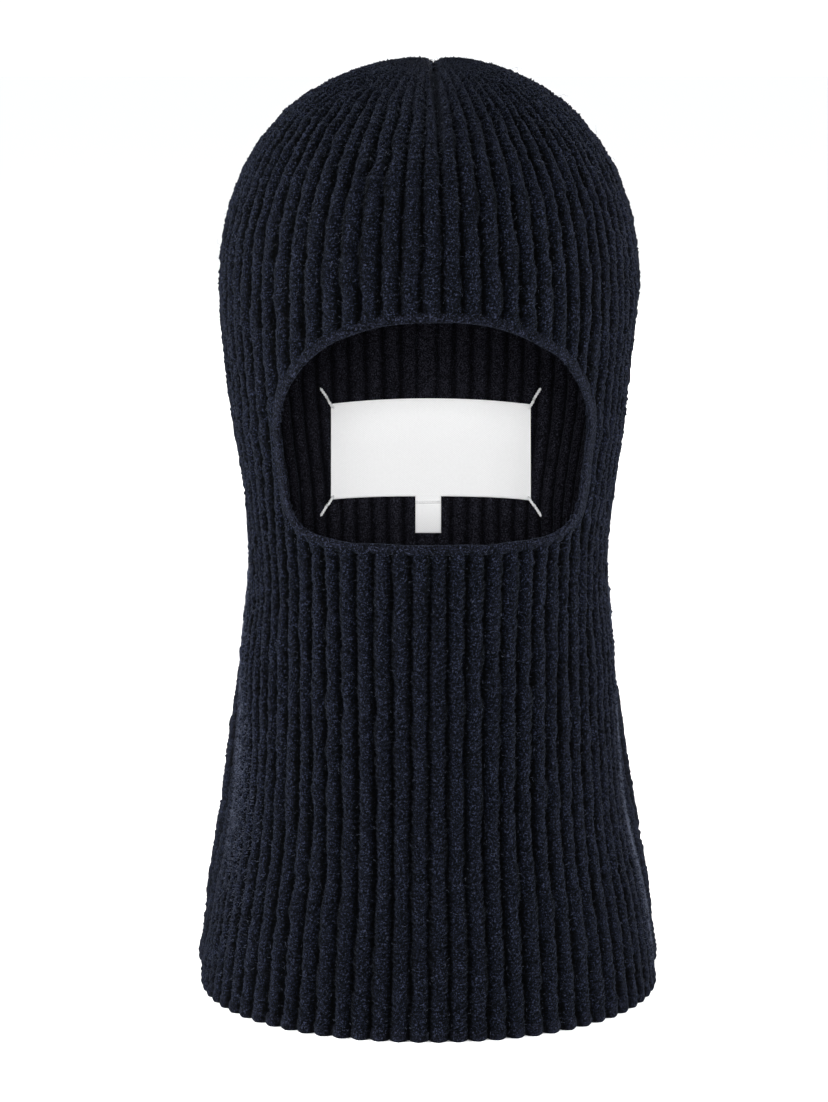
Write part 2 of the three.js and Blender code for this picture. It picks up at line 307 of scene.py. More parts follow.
def make_mesh(name, points, faces, material, uv=None, inside=None):
    """A smooth-shaded object from points in millimetres. faces is a list of index arrays, of which the
    second wears the inside material where there is one."""
    mesh = bpy.data.meshes.new(name)
    groups = [np.asarray(group, dtype=np.int32) for group in faces if len(group)]
    loops = np.concatenate([group.ravel() for group in groups])
    sizes = np.concatenate([np.full(len(group), group.shape[1], dtype=np.int32) for group in groups])
    starts = np.concatenate([[0], np.cumsum(sizes)[:-1]]).astype(np.int32)
    mesh.vertices.add(len(points))
    mesh.vertices.foreach_set("co", (np.asarray(points) * MM).astype(np.float32).ravel())
    mesh.loops.add(len(loops))
    mesh.loops.foreach_set("vertex_index", loops)
    mesh.polygons.add(len(sizes))
    mesh.polygons.foreach_set("loop_start", starts)
    mesh.polygons.foreach_set("loop_total", sizes)
    mesh.polygons.foreach_set("use_smooth", np.ones(len(sizes), dtype=bool))
    if uv is not None:
        layer = mesh.uv_layers.new(name="stitches")
        layer.data.foreach_set("uv", np.asarray(uv, dtype=np.float32)[loops].ravel())
    mesh.materials.append(material)
    if inside is not None:
        mesh.materials.append(inside)
        which = [np.full(len(group), int(i == 1), dtype=np.int32) for i, group in enumerate(groups)]
        mesh.polygons.foreach_set("material_index", np.concatenate(which))
    mesh.update(calc_edges=True)
    mesh.validate()
    piece = bpy.data.objects.new(name, mesh)
    bpy.context.scene.collection.objects.link(piece)
    return piece


def grid_quads(rows, columns, first=0, flip=False, wrap=False):
    """Quads of a grid of points stored row by row."""
    across = columns if wrap else columns - 1
    row, column = np.meshgrid(np.arange(rows - 1), np.arange(across), indexing="ij")
    after = (column + 1) % columns
    low, high = row * columns, (row + 1) * columns
    corners = [low + column, low + after, high + after, high + column]
    quads = np.stack([corner.ravel() for corner in corners], axis=1) + first
    return quads[:, ::-1] if flip else quads


def swept(name, sections, material, closed=False, uv=None):
    """A solid from a row of closed sections, each an array of points, with flat ends if it is open."""
    count, around = sections.shape[:2]
    rows = np.concatenate([sections, sections[:1]]) if closed else sections
    quads = grid_quads(len(rows), around, wrap=True)
    if closed:
        quads = quads % (count * around)
        return make_mesh(name, sections.reshape(-1, 3), [quads], material, uv)
    ring = np.arange(around)
    ends = [ring[None, ::-1], ring[None, :] + (count - 1) * around]
    return make_mesh(name, sections.reshape(-1, 3), [quads, *ends], material, uv)


def dress(piece, body, slot, *nodes):
    """The piece rides a body and stands for CAD nodes, whose parts are hidden. slot is not used."""
    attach(piece, body)
    if nodes:
        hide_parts(*nodes)
    return piece


# The knitted panels


def distance_along(path):
    """How far each point of a path is from its start, along it."""
    return np.concatenate([[0], np.cumsum(np.linalg.norm(np.diff(path, axis=0), axis=1))])


def even_climbs(from_climb, to_climb, spacing):
    """Climbs from one to another, evenly apart along the side of the head, and the distance between."""
    fine = np.linspace(from_climb, to_climb, 4000)
    path = knit_points(np.full_like(fine, math.pi / 2), fine, 0.0)
    travelled = distance_along(path)
    count = max(int(round(travelled[-1] / spacing)), 1)
    return np.interp(np.linspace(0, travelled[-1], count + 1), travelled, fine), travelled[-1]


def rib_bearings(climb, start, end, shares):
    """Bearings that split one section between two bearings into even lengths."""
    fine = np.linspace(start, end, 361)
    ring = knit_points(fine, np.full_like(fine, climb), 0.0)
    travelled = distance_along(ring)
    return np.interp(shares * travelled[-1], travelled, fine)


def front_lean(climb, share):
    """Above the opening the ribs lean to the right, and at the waist the middle ones are wider."""
    lean = 0.62 * smoothstep(1.97, 1.5, climb) * smoothstep(0.7, 0.85, climb) / FRONT_RIBS
    wide = 0.012 * np.exp(-(((climb - 0.6) / 0.22) ** 2))
    return lean * np.sin(math.pi * share) ** 2 + wide * np.sin(2 * math.pi * (share - 0.5))


def crown_dip(points, rib):
    """How far the knit sinks at the gathered crown and in the groove that runs forward from it."""
    reach = np.hypot(points[..., 0] - CROWN_SHIFT, points[..., 1])
    is_top = smoothstep(BROW + 30, BROW + 50, points[..., 2])
    dimple = DIMPLE_DEPTH * np.exp(-((reach / 5) ** 2))
    rib_width = 2 * math.pi * reach / RIBS
    ahead = np.abs(rib - FRONT_RIBS / 2) * rib_width
    behind = np.abs(rib - FRONT_RIBS - BACK_RIBS) * rib_width
    groove = np.exp(-((ahead / 1.5) ** 2)) * smoothstep(86, 44, reach)
    groove = groove + 0.3 * np.exp(-((behind / 2.4) ** 2)) * smoothstep(36, 20, reach)
    return (dimple + GROOVE_DEPTH * groove) * is_top


def knit_panel(name, start, end, ribs, first_rib, material, inside, cut_opening=False):
    """A corrugated sheet of knit between two bearings, from the hem's edge to the crown."""
    low, high = climb_at_height(HEM_EDGE - 0.2), climb_at_radius(CROWN_HOLE - 1.5)
    courses, _ = even_climbs(low, high, COURSE)
    count = len(courses) - 1
    rows = np.interp(np.linspace(0, count, count * COURSE_SAMPLES + 1), np.arange(count + 1), courses)
    share = np.linspace(0, 1, ribs * RIB_SAMPLES + 1)
    bearing = np.empty((len(rows), len(share)))
    for i, climb in enumerate(rows):
        warped = share + front_lean(climb, share) if cut_opening else share
        bearing[i] = rib_bearings(climb, start, end, warped)
    climb = np.repeat(rows[:, None], len(share), axis=1)
    rib = first_rib + np.repeat(share[None, :] * ribs, len(rows), axis=0)
    inner_rib = rib + 0.5
    course = np.repeat(np.linspace(0, count, len(rows))[:, None], len(share), axis=1)
    smooth = knit_points(bearing, climb, 0.0)
    reach = np.hypot(smooth[..., 0], smooth[..., 1])
    closeness = smoothstep(MERGE_FAR, MERGE_NEAR, reach) * smoothstep(1.2, 1.3, climb)
    tight = smoothstep(5, 46, reach)
    beyond = beyond_opening(smooth) if cut_opening else np.full(rib.shape, 200.0)
    full = smoothstep(TRIM_WIDTH - 1.0, TRIM_WIDTH + RIB_FADE, beyond)
    plain = tight * (1 - 0.6 * smoothstep(0.95, 1.25, climb))
    bars = COURSE_BARS * np.cos(2 * math.pi * course) * plain
    depth = (RIB_DEPTH + bars) * full * (0.2 + 0.8 * tight)
    edge_sink = 0.75 * (1 - full)
    relief = stitch_relief(rib, course) * (0.25 + 0.75 * full) * plain
    wander = uneven(rib + 0.5, course, 0.18) + uneven(rib + 0.5, course / 3, 0.15)
    wander = tight * (wander + uneven(rib / 5, course / 14, 0.35))
    dip = crown_dip(smooth, rib)
    fuzz = random.normal(0, ROUGHNESS, rib.shape) * (0.3 + 0.7 * full)
    fuzz = fuzz * (1 + 0.6 * smoothstep(1.3, 1.7, climb))
    sway = uneven(rib, course / 4, 0.07) + uneven(rib + 0.5, course, 0.045)
    bare = 1 - merged_ribs(rib + sway * np.sin(math.pi * share[None, :]) ** 0.2, closeness)
    outer_inset = depth * bare + edge_sink - relief * 0.8 - wander * full + SURFACE_INSET + dip + fuzz
    inner_inset = WALL + edge_sink * 0.9 + depth * rib_profile(inner_rib % 1) - wander * full + dip
    outer = knit_points(bearing, climb, outer_inset)
    pick = (slice(None, None, COURSE_SAMPLES), slice(None, None, INNER_STEP))
    inner = knit_points(bearing[pick], climb[pick], inner_inset[pick])
    keep = None
    if cut_opening:
        centre = beyond[pick]
        keep = (centre[:-1, :-1] + centre[1:, :-1] + centre[:-1, 1:] + centre[1:, 1:]) / 4 > TRIM_LAP
    faces = sheet_faces(outer.shape[:2], inner.shape[:2], keep)
    points = np.concatenate([outer.reshape(-1, 3), inner.reshape(-1, 3)])
    uv = np.concatenate([
        np.stack([rib, course], axis=-1).reshape(-1, 2),
        np.stack([rib[pick] + 0.5, course[pick]], axis=-1).reshape(-1, 2),
    ])
    points, faces, uv = drop_unused(points, faces, uv)
    return make_mesh(name, points, faces, material, uv, inside)


def sheet_faces(outer_shape, inner_shape, keep):
    """Faces of a closed sheet whose outside grid is finer than its inside one. keep marks the inside
    cells that are there. Every border of the kept cells is closed by a rim."""
    rows, columns = inner_shape[0] - 1, inner_shape[1] - 1
    if keep is None:
        keep = np.ones((rows, columns), dtype=bool)
    first_inner = outer_shape[0] * outer_shape[1]
    outer_keep = np.repeat(np.repeat(keep, COURSE_SAMPLES, axis=0), INNER_STEP, axis=1).ravel()
    outer = grid_quads(*outer_shape)[outer_keep]
    inner = grid_quads(*inner_shape, first=first_inner, flip=True)[keep.ravel()]

    def at_outer(row, column):
        return row * outer_shape[1] + column

    def at_inner(row, column):
        return first_inner + row * inner_shape[1] + column

    padded = np.pad(keep, 1)
    rim = []
    for (shift_row, shift_column), (ends, steps) in {
        (-1, 0): (((0, 0), (0, 1)), INNER_STEP),
        (1, 0): (((1, 1), (1, 0)), INNER_STEP),
        (0, -1): (((1, 0), (0, 0)), COURSE_SAMPLES),
        (0, 1): (((0, 1), (1, 1)), COURSE_SAMPLES),
    }.items():
        beside = padded[1 + shift_row:rows + 1 + shift_row, 1 + shift_column:columns + 1 + shift_column]
        row, column = np.nonzero(keep & ~beside)
        (row_a, column_a), (row_b, column_b) = ends
        a_inner, b_inner = at_inner(row + row_a, column + column_a), at_inner(row + row_b, column + column_b)
        line = []
        for step in range(steps + 1):
            part = step / steps
            outer_row = (row + row_a + (row_b - row_a) * part) * COURSE_SAMPLES
            outer_column = (column + column_a + (column_b - column_a) * part) * INNER_STEP
            line.append(at_outer(np.rint(outer_row).astype(int), np.rint(outer_column).astype(int)))
        half = steps // 2
        for step in range(steps):
            near = a_inner if step <= half - (steps % 2 == 0) else b_inner
            rim.append(np.stack([near, line[step + 1], line[step]], axis=1))
        turn = half if steps % 2 == 0 else half + 1
        rim.append(np.stack([a_inner, b_inner, line[turn]], axis=1))
    return [outer, inner, np.concatenate(rim)]


def drop_unused(points, faces, uv):
    used = np.unique(np.concatenate([group.ravel() for group in faces]))
    renumber = np.full(len(points), -1)
    renumber[used] = np.arange(len(used))
    return points[used], [renumber[group] for group in faces], uv[used]


# The other knitted pieces


def opening_trim(material):
    """The flat band round the face opening, with a rounded lip that catches the light."""
    angle = angle_by_length(TRIM_POINTS)
    steps = np.arange(TRIM_POINTS)
    profile = [
        (3.8, 2.0), (3.5, 1.3), (3.1, 1.0), (2.6, 0.85), (2.1, 0.75), (1.6, 0.7), (1.2, 0.65), (0.8, 0.65),
        (0.35, 0.8), (0.05, 1.15), (-0.1, 1.6), (-0.05, 2.3), (0.3, 2.9), (0.9, 3.2), (2.1, 3.3), (3.6, 3.2),
    ]
    sections = np.empty((TRIM_POINTS, len(profile), 3))
    chain = 0.5 + 0.5 * np.cos(2 * math.pi * steps / TRIM_POINTS * TRIM_CHAINS)
    sway = smooth_noise(TRIM_POINTS, 34, 0.22)
    for j, (grow, inset) in enumerate(profile):
        is_lip = float(j in TRIM_LIP)
        depth = inset - 0.12 * chain * is_lip + random.normal(0, 0.06, TRIM_POINTS)
        x, z = opening_outline(angle, grow + sway - 0.1 * chain * is_lip)
        sections[:, j] = wall_points(x, z, depth, False)
    along = np.repeat(steps[:, None] * TRIM_CHAINS / TRIM_POINTS, len(profile), axis=1)
    around = np.repeat(np.linspace(0.1, 0.9, len(profile))[None, :], TRIM_POINTS, axis=0)
    uv = np.stack([around, along], axis=-1).reshape(-1, 2)
    return swept("face_opening_trim", sections, material, closed=True, uv=uv)


def angle_by_length(count):
    """Angles evenly apart along the opening's edge."""
    fine = np.linspace(0, 2 * math.pi, 8001)
    x, z = opening_outline(fine, 1.0)
    travelled = np.concatenate([[0], np.cumsum(np.hypot(np.diff(x), np.diff(z)))])
    return np.interp(np.arange(count) / count * travelled[-1], travelled, fine)


def smooth_noise(count, knots, amount):
    """A smooth closed random line."""
    values = random.normal(0, amount, knots)
    where = np.arange(count) / count * knots
    i = np.floor(where).astype(int)
    t = smoothstep(0, 1, where - i)
    return values[i % knots] * (1 - t) + values[(i + 1) % knots] * t


def hem_ring(material):
    """The cast-off edge at the hem, corrugated like the ribs above it."""
    climb = climb_at_height(HEM_EDGE)
    quarter = np.linspace(0, 1, BACK_RIBS * RIB_SAMPLES + 1)[:-1]
    bearings, ribs = [], []
    for k in range(4):
        start = k * math.pi / 2
        bearings.append(rib_bearings(climb, start, start + math.pi / 2, quarter))
        ribs.append(BACK_RIBS * k + quarter * BACK_RIBS)
    bearing, rib = np.concatenate(bearings), np.concatenate(ribs)
    wale = rib_profile(rib % 1)
    under = rib_profile((rib + 0.5) % 1)
    chain = np.cos(2 * math.pi * rib * 2)
    outer = 0.25 + RIB_DEPTH * 0.9 * (1 - wale)
    inner = WALL + 0.1 + RIB_DEPTH * 0.9 * under
    middle = (outer + inner) / 2
    foot = 0.35 * (1 - wale)
    lines = [
        (HEM_EDGE + 1.2, outer + 0.5), (HEM_EDGE, outer - 0.1), (2.7, outer - 0.22 - 0.1 * chain),
        (1.7, outer - 0.3 - 0.14 * chain), (0.9, outer - 0.1), (foot + 0.3, outer + 0.25),
        (foot, outer * 0.6 + middle * 0.4), (foot, inner * 0.6 + middle * 0.4), (foot + 0.5, inner - 0.1),
        (1.6, inner + 0.15), (2.7, inner + 0.1), (HEM_EDGE + 1.2, inner - 0.4),
    ]
    sections = np.empty((len(bearing), len(lines), 3))
    for j, (height, inset) in enumerate(lines):
        sections[:, j] = knit_points(bearing, (height + 0 * bearing) / BROW, inset)
    along = np.repeat(rib[:, None], len(lines), axis=1)
    around = np.repeat(np.linspace(0, 2, len(lines))[None, :], len(rib), axis=0)
    uv = np.stack([along, around], axis=-1).reshape(-1, 2)
    return swept("hem_cast_off_edge", sections[::-1], material, closed=True, uv=uv[::-1])


def inside_seam(name, bearing, low, high, width, material, sink=0.0):
    """A linked seam inside the knit: a low ridge of slanted loops from one climb to another. sink is how
    much deeper it lies."""
    climbs, length = even_climbs(low, high, SEAM_STEP)
    fine = np.arange(len(climbs))
    loops = np.cos(2 * math.pi * fine * SEAM_STEP / SEAM_LOOP)
    drift = smooth_noise(len(climbs), max(int(length / 13), 4), 0.35)
    around = np.linspace(0, 2 * math.pi, 13)[:-1]
    sections = np.empty((len(climbs), len(around), 3))
    for j, a in enumerate(around):
        across = math.cos(a) * (width / 2 + 0.3 * loops * np.sign(math.cos(a))) + drift
        ridge = 0.28 * np.cos(2 * math.pi * (fine * SEAM_STEP / SEAM_LOOP - abs(math.cos(a)) * 0.6))
        inset = sink + (SEAM_NEAR + SEAM_FAR) / 2 - 0.3 + (0.85 + ridge * max(math.sin(a), 0)) * math.sin(a)
        radius = np.maximum(section_radius(bearing, BROW * np.minimum(climbs, 1), SEAM_FAR), 20)
        closing = np.cos(np.maximum(climbs - 1, 0) * math.pi / 2) ** (2 / DOME_POWER)
        turn = across / np.maximum(radius * closing, 6)
        sections[:, j] = knit_points(bearing + turn, climbs, inset)
    v = np.repeat((fine * SEAM_STEP / SEAM_LOOP)[:, None], len(around), axis=1)
    u = np.repeat((np.arange(len(around)) / len(around) * 2)[None, :], len(climbs), axis=0)
    uv = np.stack([u, v], axis=-1).reshape(-1, 2)
    return swept(name, sections, material, uv=uv)


def strand(path, radius, twist, lobes, points_around=10):
    """Closed sections of a plied thread along a path of points, twisted once every twist millimetres."""
    path = np.asarray(path, dtype=float)
    tangent = np.gradient(path, axis=0)
    tangent /= np.linalg.norm(tangent, axis=1)[:, None]
    side = np.cross(tangent, [0.31, 0.52, 0.79])
    side /= np.linalg.norm(side, axis=1)[:, None]
    other = np.cross(tangent, side)
    travelled = distance_along(path)
    around = np.linspace(0, 2 * math.pi, points_around, endpoint=False)
    turned = 2 * math.pi * travelled[:, None] / twist
    phase = around[None, :] + turned
    reach = radius * (0.84 + 0.16 * np.cos(lobes * (phase - 2 * turned)))
    ends = np.sqrt(np.clip(np.minimum(travelled, travelled[-1] - travelled) / radius, 0.05, 1))
    reach = reach * ends[:, None]
    cos, sin = np.cos(around)[None, :, None], np.sin(around)[None, :, None]
    return path[:, None, :] + reach[..., None] * (cos * side[:, None, :] + sin * other[:, None, :])


def crown_yarn(material):
    """The yarn that gathers the last stitches: a flat coil that fills the hole in the crown."""
    turns = np.linspace(0, 1, 260)
    angle = turns * 2 * math.pi * 3.2
    reach = 0.5 + 3.4 * turns
    top = BROW + DOME_HEIGHT - 4.3
    rise = 0.25 * np.cos(angle * 2.5) - 0.4 * turns
    path = np.stack([CROWN_SHIFT + reach * np.cos(angle), reach * np.sin(angle), top + rise], axis=1)
    return swept("crown_gathering_yarn", strand(path, 1.0, 3.0, 2), material)


# The labels


def label_point(x, z, inset):
    return wall_points(np.asarray(x, dtype=float), np.asarray(z, dtype=float), inset, True)


def woven_sheet(name, width, height, columns, rows, place, thickness, material):
    """A closed thin sheet with rounded edges. place gives a point from across, up and height."""
    across = np.linspace(-0.5, 0.5, columns + 1)
    up = np.linspace(-0.5, 0.5, rows + 1)
    u, v = np.meshgrid(across, up)
    edge = (0.5 - np.abs(u)) * width
    rim = np.minimum(edge, (0.5 - np.abs(v)) * height)
    round_off = 0.5 * thickness * (1 - smoothstep(0, 0.5, rim))
    near = place(u * width, v * height, thickness - round_off)
    far = place(u * width, v * height, round_off)
    size = near[..., 0].size
    front = grid_quads(rows + 1, columns + 1, flip=True)
    back = grid_quads(rows + 1, columns + 1, first=size)
    rim_loop = border_loop(rows + 1, columns + 1)
    after = np.roll(rim_loop, -1)
    rims = np.stack([rim_loop, after, after + size, rim_loop + size], axis=1)
    points = np.concatenate([near.reshape(-1, 3), far.reshape(-1, 3)])
    flat = np.stack([u * width, v * height], axis=-1).reshape(-1, 2) * MM
    return make_mesh(name, points, [front, back, rims], material, np.concatenate([flat, flat]))


def border_loop(rows, columns):
    """The border of a grid, counter-clockwise."""
    bottom = np.arange(columns - 1)
    right = np.arange(rows - 1) * columns + columns - 1
    top = (rows - 1) * columns + np.arange(columns - 1, 0, -1)
    left = np.arange(rows - 1, 0, -1) * columns
    return np.concatenate([bottom, right, top, left])


def main_label(material):
    """The large white label on the inside of the nape. It bows a little between its sewn corners."""

    def place(x, z, lift):
        bow = np.cos(math.pi * x / LABEL_WIDTH)
        height = LABEL_CENTRE + z + 1.3 * bow * smoothstep(-0.2, 0.5, z / LABEL_HEIGHT)
        ripple = 0.35 * np.sin(x / 9.5 + 0.8) * np.cos(z / 13) + 0.18 * np.sin(x / 3.9) * (z / LABEL_HEIGHT)
        belly = 0.55 * bow * np.cos(math.pi * z / LABEL_HEIGHT)
        return label_point(x + LABEL_SHIFT, height, LABEL_INSET + lift + ripple * 0.7 + belly)

    return woven_sheet("woven_label", LABEL_WIDTH, LABEL_HEIGHT, 164, 78, place, LABEL_THICKNESS, material)


def corner_tack(name, side, upward, material):
    """One long stitch of white thread, from the label's corner out into the knit."""
    distance = np.linspace(-1.9, TACK_LENGTH - 1.2, 46)
    lean = TACK_LEAN + random.uniform(-0.05, 0.05)
    x = LABEL_SHIFT + side * (LABEL_WIDTH / 2 + distance * math.cos(lean))
    z = LABEL_CENTRE + upward * (LABEL_HEIGHT / 2 + distance * math.sin(lean))
    over = smoothstep(-1.9, -0.9, distance) * smoothstep(TACK_LENGTH - 1.2, TACK_LENGTH - 2.6, distance)
    low = np.where(distance < 2, LABEL_INSET + 0.5, KNIT_THICKNESS + 0.5)
    inset = low + (TACK_RADIUS + 0.9) * over - 1.1 * smoothstep(0, 5, distance) * over
    path = label_point(x, z, inset)
    return swept(name, strand(path, TACK_RADIUS, 2.4, 2, 12), material)


def tape_end(name, top, bottom, behind, material):
    """A piece of the tab's tape, between two heights above the line that it folds along. behind is how
    far behind that line it lies."""

    def place(x, z, lift):
        up = z + (top + bottom) / 2
        curl = 0.35 * np.cos(x / TAB_WIDTH * math.pi) - 0.5 * (np.minimum(up, 0) / 14) ** 2
        back = TAB_THICKNESS / 2 - lift - curl + behind
        y = TAB_AXIS[1] + back * math.cos(TAB_LEAN) + up * math.sin(TAB_LEAN)
        height = TAB_AXIS[2] + up * math.cos(TAB_LEAN) - back * math.sin(TAB_LEAN)
        return np.stack([TAB_AXIS[0] + x, y, height], axis=-1)

    return woven_sheet(name, TAB_WIDTH, top - bottom, 42, 44, place, TAB_THICKNESS, material)


def tab_sewing_line(material):
    """The small running stitches that hold the tab."""
    x = np.linspace(-TAB_WIDTH / 2 + 0.3, TAB_WIDTH / 2 - 0.3, 90)
    hop = 0.14 * np.cos(2 * math.pi * x / 2.1)
    path = np.stack([x + TAB_AXIS[0], TAB_AXIS[1] - 0.52 - hop, TAB_AXIS[2] + TAB_LINE + 0 * x], axis=1)
    return swept("tab_sewing_line", strand(path, 0.2, 1.6, 2, 8), material)


# Loose fibres


def everywhere(count):
    return random.uniform(-math.pi, math.pi, count), random.uniform(0.01, 1.93, count)


def along_fold_highlights(count):
    """Bearings and climbs along the two side folds, where pale fibres stand in for a painted highlight. The
    left fold's highlight drifts forward towards the hem, and is densest at the waist."""
    is_right = random.random(count) < 0.5
    right_climb = FOLD_FOOT + FOLD_SPAN * random.beta(1.4, 2.0, count)
    left_climb = FOLD_SPAN * random.beta(2.6, 1.5, count)
    climb = np.where(is_right, right_climb, left_climb)
    down = np.maximum(WAIST_CLIMB - climb, 0)
    right = random.normal(RIGHT_HIGHLIGHT_BEARING, RIGHT_SPREAD, count)
    left = LEFT_DRIFT * down - LEFT_HIGHLIGHT_BEARING
    left = left + random.normal(0, LEFT_SPREAD, count) * (1 + 2 * down)
    return np.where(is_right, right, left), np.maximum(climb, FOLD_FOOT)


def loose_fibres(name, place, count, longest, steps, material, upright):
    """Thin curled wool fibres that stand off the knit, as one piece of thin tubes. upright is how steeply
    the flattest of them stands."""
    around = 3
    bearing, climb = place(count)
    keep = beyond_opening(knit_points(bearing, climb, 0.0)) > 1.5
    bearing, climb = bearing[keep], climb[keep]
    count = len(bearing)
    root = knit_points(bearing, climb, 0.9)
    normal = knit_points(bearing, climb, -1.0) - knit_points(bearing, climb, 1.0)
    normal /= np.linalg.norm(normal, axis=1)[:, None]
    drift = random.normal(0, 1, (count, 3))
    drift -= (drift * normal).sum(axis=1)[:, None] * normal
    drift /= np.linalg.norm(drift, axis=1)[:, None]
    side = np.cross(normal, drift)
    length = longest * random.uniform(0.3, 1, count) ** 1.6
    stand = random.uniform(upright, upright + 0.75, count)
    bend = random.uniform(-1.4, 1.4, count)
    t = np.linspace(0, 1, steps + 1)[None, :, None]
    reach = length[:, None, None]
    rise = stand[:, None, None] * (t - 0.45 * t**2)
    lie = t * (1 - 0.3 * rise) * drift[:, None, :] * 0.8
    curl = bend[:, None, None] * t**2 * 0.4 * side[:, None, :]
    path = root[:, None, :] + reach * (rise * normal[:, None, :] + lie + curl)
    path = path + reach * 0.05 * random.normal(0, 1, path.shape) * t
    thick = FIBRE_RADIUS * (1 - 0.75 * t)
    spin = np.linspace(0, 2 * math.pi, around, endpoint=False)
    cos, sin = np.cos(spin)[None, None, :, None], np.sin(spin)[None, None, :, None]
    ring = cos * side[:, None, None, :] + sin * normal[:, None, None, :]
    points = (path[:, :, None, :] + thick[..., None] * ring).reshape(-1, 3)
    one = grid_quads(steps + 1, around, wrap=True)
    first = (np.arange(count) * (steps + 1) * around)[:, None, None]
    walls = (one[None] + first).reshape(-1, 4)
    ends = np.array([[2, 1, 0], [steps * around, steps * around + 1, steps * around + 2]])
    caps = (ends[None] + first).reshape(-1, 3)
    return make_mesh(name, points, [walls, caps], material, np.zeros((len(points), 2)))


# Materials. Lengths in the nodes are in metres.

WOOL_SHEEN = 0.027
CREASE_EDGE = 0.0019  # half width of the painted shade in the crown's crease
CREASE_CORE = 0.0006
CREASE_FOOT = 0.298  # it fades in between these heights
CREASE_TOP = 0.322
PLAIN_FROM = 0.336  # the painted shade in the valleys and between the stitches' legs fades out between these heights
PLAIN_ABOVE = 0.356
RIGHT_LINE_RIB = 35.2  # the rib at the middle of the painted highlight along the right fold
RIGHT_LINE_REACH = 2.8  # in ribs
LEFT_BAND_RIB = 7.5  # the same for the left fold, at the hem
LEFT_BAND_DRIFT = 47.0  # ribs that it moves by in each metre of height
LEFT_BAND_REACH = 5.0
WARP_PITCH = 0.00105
WEFT_PITCH = 0.0008


def new_material(name):
    material = bpy.data.materials.new(name)
    material.use_nodes = True
    tree = material.node_tree
    return material, tree, tree.nodes["Principled BSDF"]


def math_node(tree, operation, first, second=0.5, third=0.5):
    node = tree.nodes.new("ShaderNodeMath")
    node.operation = operation
    for socket, value in zip(node.inputs, (first, second, third)):
        if isinstance(value, (int, float)):
            socket.default_value = value
        else:
            tree.links.new(value, socket)
    return node.outputs[0]


def mix_colours(tree, factor, first, second):
    node = tree.nodes.new("ShaderNodeMix")
    node.data_type = "RGBA"
    for socket, value in ((node.inputs[0], factor), (node.inputs[6], first), (node.inputs[7], second)):
        if isinstance(value, (int, float, tuple)):
            socket.default_value = value
        else:
            tree.links.new(value, socket)
    return node.outputs[2]


def split_vector(tree, vector):
    split = tree.nodes.new("ShaderNodeSeparateXYZ")
    tree.links.new(vector, split.inputs[0])
    return split.outputs


def stitch_map(tree):
    uv = tree.nodes.new("ShaderNodeUVMap")
    uv.uv_map = "stitches"
    return uv.outputs[0]


def add_bump(tree, shader, height, strength, distance):
    bump = tree.nodes.new("ShaderNodeBump")
    bump.inputs["Strength"].default_value = strength
    bump.inputs["Distance"].default_value = distance
    tree.links.new(height, bump.inputs["Height"])
    tree.links.new(bump.outputs[0], shader.inputs["Normal"])


def noise_node(tree, vector, scale, detail):
    node = tree.nodes.new("ShaderNodeTexNoise")
    node.inputs["Scale"].default_value = scale
    node.inputs["Detail"].default_value = detail
    tree.links.new(vector, node.inputs["Vector"])
    return node.outputs["Fac"]


def sharpen(tree, value, low, high):
    node = tree.nodes.new("ShaderNodeMapRange")
    node.interpolation_type = "SMOOTHSTEP"
    node.inputs["From Min"].default_value = low
    node.inputs["From Max"].default_value = high
    tree.links.new(value, node.inputs["Value"])
    return node.outputs["Result"]


def stitch_sockets(tree):
    """The rib's number, how near the surface is to a stitch's legs, and how far from a rib's middle."""
    rib, course = split_vector(tree, stitch_map(tree))[:2]
    share = math_node(tree, "FRACT", rib)
    off = math_node(tree, "ABSOLUTE", math_node(tree, "SUBTRACT", share, 0.5))
    off = math_node(tree, "MULTIPLY", off, 2.0)
    climbed = math_node(tree, "MULTIPLY", off, LEG_SLANT)
    slant = math_node(tree, "SUBTRACT", course, climbed)
    wave = math_node(tree, "COSINE", math_node(tree, "MULTIPLY", slant, 2 * math.pi))
    legs = math_node(tree, "MULTIPLY_ADD", wave, 0.5, 0.5)
    return rib, legs, off


def crown_crease_shade(tree, rib, place):
    """1 in the crease that runs forward from the middle of the crown along the front's middle rib, where
    shade is painted.
    """
    flat = tree.nodes.new("ShaderNodeCombineXYZ")
    tree.links.new(math_node(tree, "SUBTRACT", place[0], CROWN_SHIFT * MM), flat.inputs[0])
    tree.links.new(place[1], flat.inputs[1])
    reach = tree.nodes.new("ShaderNodeVectorMath")
    reach.operation = "LENGTH"
    tree.links.new(flat.outputs[0], reach.inputs[0])
    width = math_node(tree, "MULTIPLY", reach.outputs["Value"], 2 * math.pi / RIBS)
    off = math_node(tree, "ABSOLUTE", math_node(tree, "SUBTRACT", rib, FRONT_RIBS / 2))
    aside = math_node(tree, "MULTIPLY", off, width)
    crease = sharpen(tree, aside, CREASE_EDGE, CREASE_CORE)
    high = sharpen(tree, place[2], CREASE_FOOT, CREASE_TOP)
    return math_node(tree, "MULTIPLY", crease, high)


def painted_fold_highlight(tree, rib, height):
    """1 where a highlight is painted along the side folds: a narrow line along the right side of the front,
    and a wider band on the left that drifts forward towards the hem."""
    right = math_node(tree, "SUBTRACT", rib, RIGHT_LINE_RIB)
    right = math_node(tree, "ABSOLUTE", right)
    right = sharpen(tree, right, RIGHT_LINE_REACH, 0.0)
    drift = math_node(tree, "MULTIPLY_ADD", height, LEFT_BAND_DRIFT, -LEFT_BAND_RIB)
    left = math_node(tree, "ABSOLUTE", math_node(tree, "ADD", rib, drift))
    left = sharpen(tree, left, LEFT_BAND_REACH, 0.0)
    low = sharpen(tree, height, 0.02, 0.12)
    low = math_node(tree, "MULTIPLY_ADD", low, 0.65, 0.35)
    both = math_node(tree, "MAXIMUM", right, math_node(tree, "MULTIPLY", left, low))
    return math_node(tree, "MULTIPLY", both, sharpen(tree, height, 0.2, 0.12))


